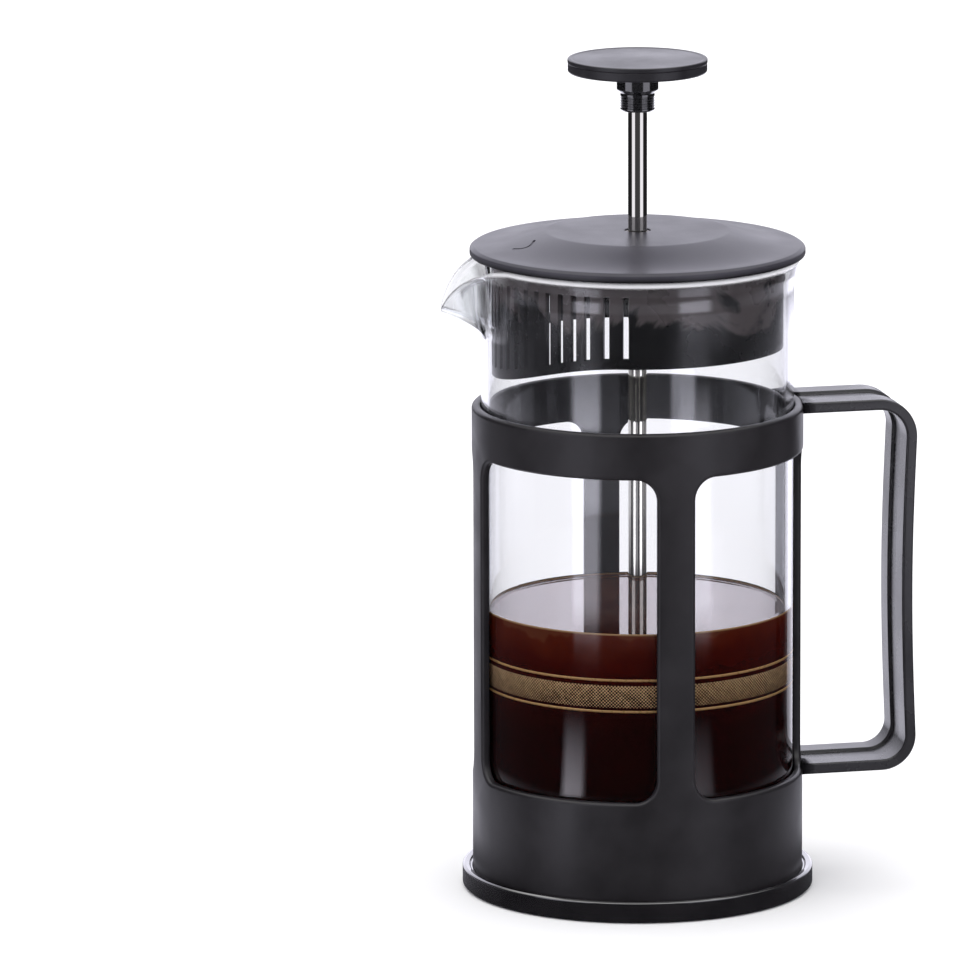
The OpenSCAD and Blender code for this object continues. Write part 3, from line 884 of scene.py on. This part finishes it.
def lid_strainer():
    """The skirt with its slots, as a wall of columns with the slots left open, and its flange."""
    outer, inner = 46 * MM, 44 * MM
    half_slot = 0.9 * MM / outer
    top, slot_top = 204.3 * MM, 198 * MM
    centres = slot_angles()
    columns = []
    for c, after in zip(centres, centres[1:] + centres[-1:]):
        columns += [(c - half_slot, "open"), (c + half_slot, "rib"), ((c + after) / 2, "rib")]
    start, end = columns[0][0], centres[-1] + 3 * half_slot
    columns[-1] = (end, "plain")
    gap = 2 * math.pi - (end - start)
    columns += [(end + gap * k / 84, "plain") for k in range(1, 84)]
    verts, rows = [], []
    for alpha, _ in columns:
        a = alpha + math.pi
        wrapped = math.atan2(math.sin(alpha), math.cos(alpha))
        edge = skirt_edge(wrapped)
        heights = (edge, edge + 3.2 * MM, slot_top, top)
        rows.append([])
        for r in (outer, inner):
            for z in heights:
                rows[-1].append(len(verts))
                verts.append((r * math.cos(a), r * math.sin(a), z))
    faces = []
    n = len(rows)
    for i, (_, kind) in enumerate(columns):
        p, q = rows[i], rows[(i + 1) % n]
        for k in (0, 1, 2):
            if kind == "open" and k == 1:
                continue
            faces.append((p[k], q[k], q[k + 1], p[k + 1]))
            faces.append((p[k + 4], p[k + 5], q[k + 5], q[k + 4]))
        faces.append((p[0], p[4], q[4], q[0]))
        faces.append((p[3], q[3], q[7], p[7]))
        if kind == "open":
            faces.append((p[1], p[2], p[6], p[5]))
            faces.append((q[1], q[5], q[6], q[2]))
            faces.append((p[1], p[5], q[5], q[1]))
            faces.append((p[2], q[2], q[6], p[6]))
    obj = mesh_object("lid_strainer_skirt", verts, faces, "lid", SKIRT, ["lid_strainer"])
    bevel = obj.modifiers.new("Edges", "BEVEL")
    bevel.width = 0.12 * MM
    bevel.segments = 2
    bevel.limit_method = "ANGLE"
    bevel.angle_limit = math.radians(50)
    weighted(obj)
    flange = [(45.9, 203.05, 0.1), (48.8, 203.05, 0.3), (48.8, 204.35, 0.3), (45.9, 204.35, 0.1)]
    revolve("lid_strainer_flange", flange, "lid", SKIRT, ["lid_strainer"], "strainer_plastic")


# ---------------------------------------------------------------- plunger


def rod():
    """The polished rod, with a rounded lower end."""
    z0, z1 = low("rod").z / MM, high("rod").z / MM
    corners = [(0, z0, 0), (3, z0, 0.5), (3, z1, 0.3), (0, z1, 0)]
    revolve("rod_polished", corners, "plunger", STEEL, ["rod"], "polished_steel", segments=64)


def knob():
    """The knob's cap and lower disc and its two collars."""
    z = low("knob_base").z / MM
    top = high("knob_cap").z / MM
    cap = [
        (0, z + 2.92, 0), (21.8, z + 2.92, 0.1), (22, z + 3.15, 0.15), (22, top - 0.1, 0.45),
        (21.2, top, 0.4), (20.4, top - 0.2, 0.5), (0, top + 0.05, 0),
    ]
    revolve("knob_cap_disc", cap, "plunger", KNOB, ["knob_cap"], "knob_plastic")
    disc = [
        (4.05, z, 0.1), (21.5, z, 0.4), (21.9, z + 0.5, 0.4), (21.9, z + 2.9, 0.2), (4.05, z + 2.9, 0.1),
    ]
    revolve("knob_base_disc", disc, "plunger", KNOB, ["knob_base"], "knob_plastic")
    neck = [
        (4.05, z - 6.6, 0.1), (5.4, z - 6.6, 0.3), (6.55, z - 5.5, 0.4), (6.55, z - 0.8, 0.3),
        (7.3, z - 0.02, 0.1), (4.05, z - 0.02, 0.1),
    ]
    revolve("knob_neck_collar", neck, "plunger", COLLAR, ["knob_neck"], "collar_plastic", segments=96)
    ferrule = [(3.05, z - 12.3, 0.1), (4.9, z - 12.3, 0.4), (5.4, z - 11.8, 0.3)]
    for k in range(5):
        ridge = z - 11.0 + 0.8 * k
        groove = ((5.4, -0.3), (5.2, -0.1), (5.2, 0.1), (5.4, 0.3))
        ferrule += [(r, ridge + step, 0.1) for r, step in groove]
    ferrule += [(5.4, z - 6.65, 0.15), (3.05, z - 6.65, 0.1)]
    collar = ("plunger", COLLAR, ["knob_ferrule"], "collar_plastic")
    revolve("knob_ferrule_collar", ferrule, *collar, segments=96)


def filter_stack():
    """Hub, domed plate, mesh, lower plate and nut, from the top down."""
    hub_z = low("filter_hub").z / MM
    hub = [
        (3.05, hub_z, 0.1), (6.5, hub_z, 0.3), (6.5, hub_z + 5.8, 0.5), (5.2, hub_z + 7, 0.5),
        (3.05, hub_z + 7, 0.3),
    ]
    revolve("filter_hub_turned", hub, "plunger", STEEL, ["filter_hub"], "polished_steel", segments=96)
    nut_z = low("end_nut").z / MM
    nut = [
        (0, nut_z, 0), (5.2, nut_z, 0.5), (6.5, nut_z + 1.2, 0.5), (6.5, nut_z + 6.9, 0.3),
        (0, nut_z + 6.9, 0),
    ]
    revolve("end_nut_turned", nut, "plunger", STEEL, ["end_nut"], "polished_steel", segments=96)
    low_z, top_z = MESH_Z / MM, MESH_TOP / MM
    edge = 47.15
    band = [
        (3.05, low_z, 0), (edge - 1.0, low_z, 0.6), (edge, low_z + 0.8, 0.8), (edge + 0.03, low_z + 4.4, 3),
        (edge, top_z - 0.8, 0.8), (edge - 1.2, top_z, 0.6), (edge - 3.2, top_z, 0.2),
        (edge - 3.2, top_z - 0.6, 0.1), (edge - 1.4, top_z - 0.7, 0.3), (edge - 0.7, top_z - 1.6, 0.4),
        (edge - 0.7, low_z + 1.2, 0.4), (edge - 1.2, low_z + 0.6, 0.3), (3.05, low_z + 0.6, 0),
    ]
    revolve("mesh_screen_woven", band, "plunger", WIRE, ["mesh_screen"], "mesh_steel", segments=256, steps=4)
    plate("cross_plate_pressed", "cross_plate", low("cross_plate").z / MM, 0, (14, 24, 36), 3.0)
    plate("spring_plate_pressed", "spring_plate", low("spring_plate").z / MM, 2.6, (29, 38), 2.2)


def plate(name, node, z0, dome, rings, hole_r):
    """A pressed steel plate with rings of flow holes cut through it."""
    edge, thick = 47.16, 0.8
    if dome:
        section = [(3.05, z0 + dome), (17, z0 + dome), (24, z0), (edge, z0)]
    else:
        section = [(3.05, z0), (20, z0), (edge, z0)]
    corners = [(r, z, 0 if i in (0, len(section) - 1) else 3) for i, (r, z) in enumerate(section)]
    corners += [(r, z + thick, 0.1 if r == edge else c) for r, z, c in reversed(corners)]
    obj = revolve(name, corners, "plunger", PLATE, [node], "filter_steel", segments=180)
    cutters = bmesh.new()
    for ring in rings:
        for k in range(12):
            a = 2 * math.pi * (k + 0.5) / 12
            spot = Matrix.Translation((ring * MM * math.cos(a), ring * MM * math.sin(a), (z0 + 1.5) * MM))
            bmesh.ops.create_cone(
                cutters, cap_ends=True, segments=24, radius1=hole_r * MM, radius2=hole_r * MM,
                depth=12 * MM, matrix=spot,
            )
    cut(obj, cutters)


def cut(obj, cutters):
    """Cuts a bmesh of closed forms out of a piece and applies the result."""
    mesh = bpy.data.meshes.new("cutters")
    cutters.to_mesh(mesh)
    cutters.free()
    tool = bpy.data.objects.new("cutters", mesh)
    bpy.context.scene.collection.objects.link(tool)
    mod = obj.modifiers.new("Holes", "BOOLEAN")
    mod.operation = "DIFFERENCE"
    mod.solver = "EXACT"
    mod.object = tool
    bpy.context.view_layer.update()
    shape = bpy.data.meshes.new_from_object(obj.evaluated_get(bpy.context.evaluated_depsgraph_get()))
    for other in list(obj.modifiers):
        obj.modifiers.remove(other)
    obj.data = shape
    bpy.data.objects.remove(tool)
    weighted(obj)


def carried_nodes():
    """The CAD nodes that stay as they are get finished materials."""
    for node, material in (("cushion_ring", RUBBER), ("knob_insert", BRASS), ("filter_spring", PLATE)):
        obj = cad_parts[node]
        obj.data.materials.clear()
        obj.data.materials.append(material)


# ---------------------------------------------------------------- scene


AZIMUTH = math.radians(-13.7)
AWAY = Vector((-math.sin(AZIMUTH), math.cos(AZIMUTH), 0))
RIGHT = Vector((math.cos(AZIMUTH), math.sin(AZIMUTH), 0))


def camera():
    """The camera of the reference view: far off, a little above, the press right of centre."""
    data = bpy.data.cameras.new("camera")
    cam = bpy.data.objects.new("camera", data)
    bpy.context.scene.collection.objects.link(cam)
    aim = Vector((0, 0, 0.128))
    back, rise = 3.2, 0.655
    cam.location = aim - AWAY * back + Vector((0, 0, rise))
    cam.rotation_mode = "QUATERNION"
    cam.rotation_quaternion = (aim - cam.location).to_track_quat("-Z", "Y")
    data.sensor_width = 36
    data.lens = 381
    data.shift_x = -0.1614
    data.clip_start, data.clip_end = 0.1, 100
    bpy.context.scene.camera = cam


# What the room mirrors in the pieces, all round the press: (place, brightness), with place 0
# behind the press, 0.25 on the left, 0.5 on the camera's side and 0.75 on the right.
FAR = (
    (0.09, 0.95), (0.11, 0.015), (0.298, 0.015), (0.308, 0.98), (0.408, 0.98), (0.416, 0.05),
    (0.584, 0.05), (0.592, 0.98), (0.692, 0.98), (0.702, 0.015), (0.88, 0.015), (0.91, 0.95),
)
NEAR = ((0.105, 0.95), (0.14, 0.04), (0.34, 0.02), (0.68, 0.02), (0.86, 0.04), (0.905, 0.95))
# Tall softboxes left and right of the camera, as the floor mirrors them far off and close by.
HIGH_STRIPS = (
    (0.30, 0.0), (0.366, 0.2), (0.373, 2.8), (0.418, 2.8), (0.428, 0.3), (0.58, 0.3), (0.59, 2.4),
    (0.645, 2.4), (0.657, 0.2), (0.72, 0.0),
)
LOW_STRIPS = (
    (0.352, 0.0), (0.361, 2.4), (0.392, 2.0), (0.401, 0.0), (0.60, 0.0), (0.61, 0.7), (0.64, 0.5),
    (0.65, 0.0),
)
# Pale sides of the room.
SIDES = (
    (0.09, 0.0), (0.12, 1.1), (0.22, 0.95), (0.34, 0.18), (0.5, 0.13), (0.66, 0.13), (0.78, 0.5),
    (0.87, 0.8), (0.91, 0.0),
)
# How much of them shows, by the distance from the press in metres.
HIGH_REACH = ((0.0, 0.0), (0.46, 0.0), (0.51, 1.0), (0.80, 1.0), (0.85, 0.7), (0.93, 0.1), (1.0, 0.0))
LOW_REACH = ((0.0, 0.0), (0.10, 0.0), (0.13, 1.0), (0.22, 0.9), (0.33, 0.05), (0.36, 0.0))
SIDES_REACH = (
    (0.0, 0.12), (0.085, 0.12), (0.105, 1.2), (0.16, 1.2), (0.21, 0.03), (0.46, 0.03),
    (0.60, 0.6), (0.80, 0.7), (0.88, 0.3),
)
# From the first to the second distance, the floor turns into the room's own walls.
FLOOR_END = (0.97, 1.10)
FLOOR_HALF = 12.0
# Brightness straight behind the press and overhead, and the tint of all that is mirrored.
BACK = 1.5
SKY = 2.0
COOL = (0.97, 0.96, 1.09)
# The pale room as it shows through the glass.
SEEN_THROUGH = (1.07, 1.06, 1.11)


def level_ramp(nt, source, stops, tint=(1, 1, 1)):
    """A tinted brightness along a value between 0 and 1, from (place, brightness) stops."""
    coloured = [(place, [level * c for c in tint]) for place, level in stops]
    return colour_ramp(nt, node_maker(nt), source, coloured)


def bearing(nt, vector):
    """Direction from the press, from 0 behind it over the left, front and right to 1."""
    add = node_maker(nt)
    parts = []
    for axis in (RIGHT, -AWAY):
        dot = add("ShaderNodeVectorMath", operation="DOT_PRODUCT")
        dot.inputs[1].default_value = axis
        nt.links.new(vector, dot.inputs[0])
        parts.append(dot.outputs["Value"])
    return mapped(nt, add, combined(nt, add, "ARCTAN2", *parts), 0.0, 1.0, -math.pi, math.pi)


def all_round(stops, back):
    """Stops all round, with the brightness behind the press at both ends."""
    return ((0.0, back), (0.06, back)) + stops + ((0.94, back), (1.0, back))


def colour_mix(nt, kind, a, b, factor=None):
    """Two colours put together: MIX by a factor, or LIGHTEN or MULTIPLY in full."""
    node = node_maker(nt)("ShaderNodeMix", data_type="RGBA", blend_type=kind)
    node.inputs["Factor"].default_value = 1.0
    if factor:
        nt.links.new(factor, node.inputs["Factor"])
    nt.links.new(a, node.inputs["A"])
    nt.links.new(b, node.inputs["B"])
    return node.outputs["Result"]


def mirrored_share(nt):
    """1 on a path that some piece has mirrored, and 0 on all others."""
    add = node_maker(nt)
    share = add("ShaderNodeMath", operation="MINIMUM")
    share.inputs[1].default_value = 1.0
    nt.links.new(add("ShaderNodeLightPath").outputs["Glossy Depth"], share.inputs[0])
    return share.outputs[0]


def studio():
    """A pale room, with dark sides and two tall softboxes in what the pieces mirror of it."""
    world = bpy.data.worlds.new("room")
    bpy.context.scene.world = world
    world.use_nodes = True
    world.cycles.sampling_method = "NONE"
    nt = world.node_tree
    add = node_maker(nt)
    direction = add("ShaderNodeTexCoord").outputs["Generated"]
    split = add("ShaderNodeSeparateXYZ")
    nt.links.new(direction, split.inputs["Vector"])
    sky = add("ShaderNodeMapRange", interpolation_type="SMOOTHSTEP", From_Min=0.5, From_Max=0.88, To_Max=SKY)
    nt.links.new(split.outputs["Z"], sky.inputs["Value"])
    pale = add("ShaderNodeRGB").outputs[0]
    pale.default_value = (*SEEN_THROUGH, 1)
    walls = level_ramp(nt, bearing(nt, direction), all_round(FAR, BACK), COOL)
    walls = colour_mix(nt, "MIX", pale, walls, mirrored_share(nt))
    light = colour_mix(nt, "LIGHTEN", walls, sky.outputs["Result"])
    nt.links.new(light, nt.nodes["Background"].inputs["Color"])
    scene = bpy.context.scene
    scene.view_settings.view_transform = "Standard"
    scene.view_settings.look = "None"


def floor_mirrored(nt, add):
    """What the pieces mirror of the floor: the softboxes, the pale sides and the dark front."""
    place = add("ShaderNodeNewGeometry").outputs["Position"]
    turn = bearing(nt, place)
    length = add("ShaderNodeVectorMath", operation="LENGTH")
    nt.links.new(place, length.inputs[0])
    distance = length.outputs["Value"]
    colour = level_ramp(nt, turn, all_round(NEAR, BACK), COOL)
    for stops, reach in ((HIGH_STRIPS, HIGH_REACH), (LOW_STRIPS, LOW_REACH), (SIDES, SIDES_REACH)):
        patch = level_ramp(nt, turn, stops, COOL)
        patch = colour_mix(nt, "MULTIPLY", patch, level_ramp(nt, distance, reach))
        colour = colour_mix(nt, "LIGHTEN", colour, patch)
    walls = level_ramp(nt, turn, FAR[1:-1], COOL)
    return colour_mix(nt, "MIX", colour, walls, mapped(nt, add, distance, 0.0, 1.0, *FLOOR_END))


def floor():
    """The pale floor. It glows evenly through the glass, and is darker in what pieces mirror."""
    mat, nt, shader, add = new_material("floor")
    mat.cycles.emission_sampling = "NONE"
    shader.inputs["Base Color"].default_value = (0.93, 0.93, 0.935, 1)
    shader.inputs["Roughness"].default_value = 0.8
    shader.inputs["Specular IOR Level"].default_value = 0.1
    pale = add("ShaderNodeEmission", Color=(*SEEN_THROUGH, 1))
    glow = add("ShaderNodeEmission")
    nt.links.new(floor_mirrored(nt, add), glow.inputs["Color"])
    through = add("ShaderNodeLightPath").outputs["Is Transmission Ray"]
    surface = mixed_shader(nt, add, through, shader.outputs["BSDF"], pale.outputs["Emission"])
    surface = mixed_shader(nt, add, mirrored_share(nt), surface, glow.outputs["Emission"])
    nt.links.new(surface, nt.nodes["Material Output"].inputs["Surface"])
    mesh = bpy.data.meshes.new("floor")
    half = FLOOR_HALF
    corners = [(-half, -half, 0), (half, -half, 0), (half, half, 0), (-half, half, 0)]
    mesh.from_pydata(corners, [], [(0, 1, 2, 3)])
    mesh.materials.append(mat)
    obj = bpy.data.objects.new("floor", mesh)
    bpy.context.scene.collection.objects.link(obj)
    obj.location.z = -0.2 * MM


camera()
studio()
floor()
frame_cage()
base_flange()
handle()
glass_beaker()
coffee()
lid_cover()
lid_bush()
lid_strainer()
rod()
knob()
filter_stack()
carried_nodes()
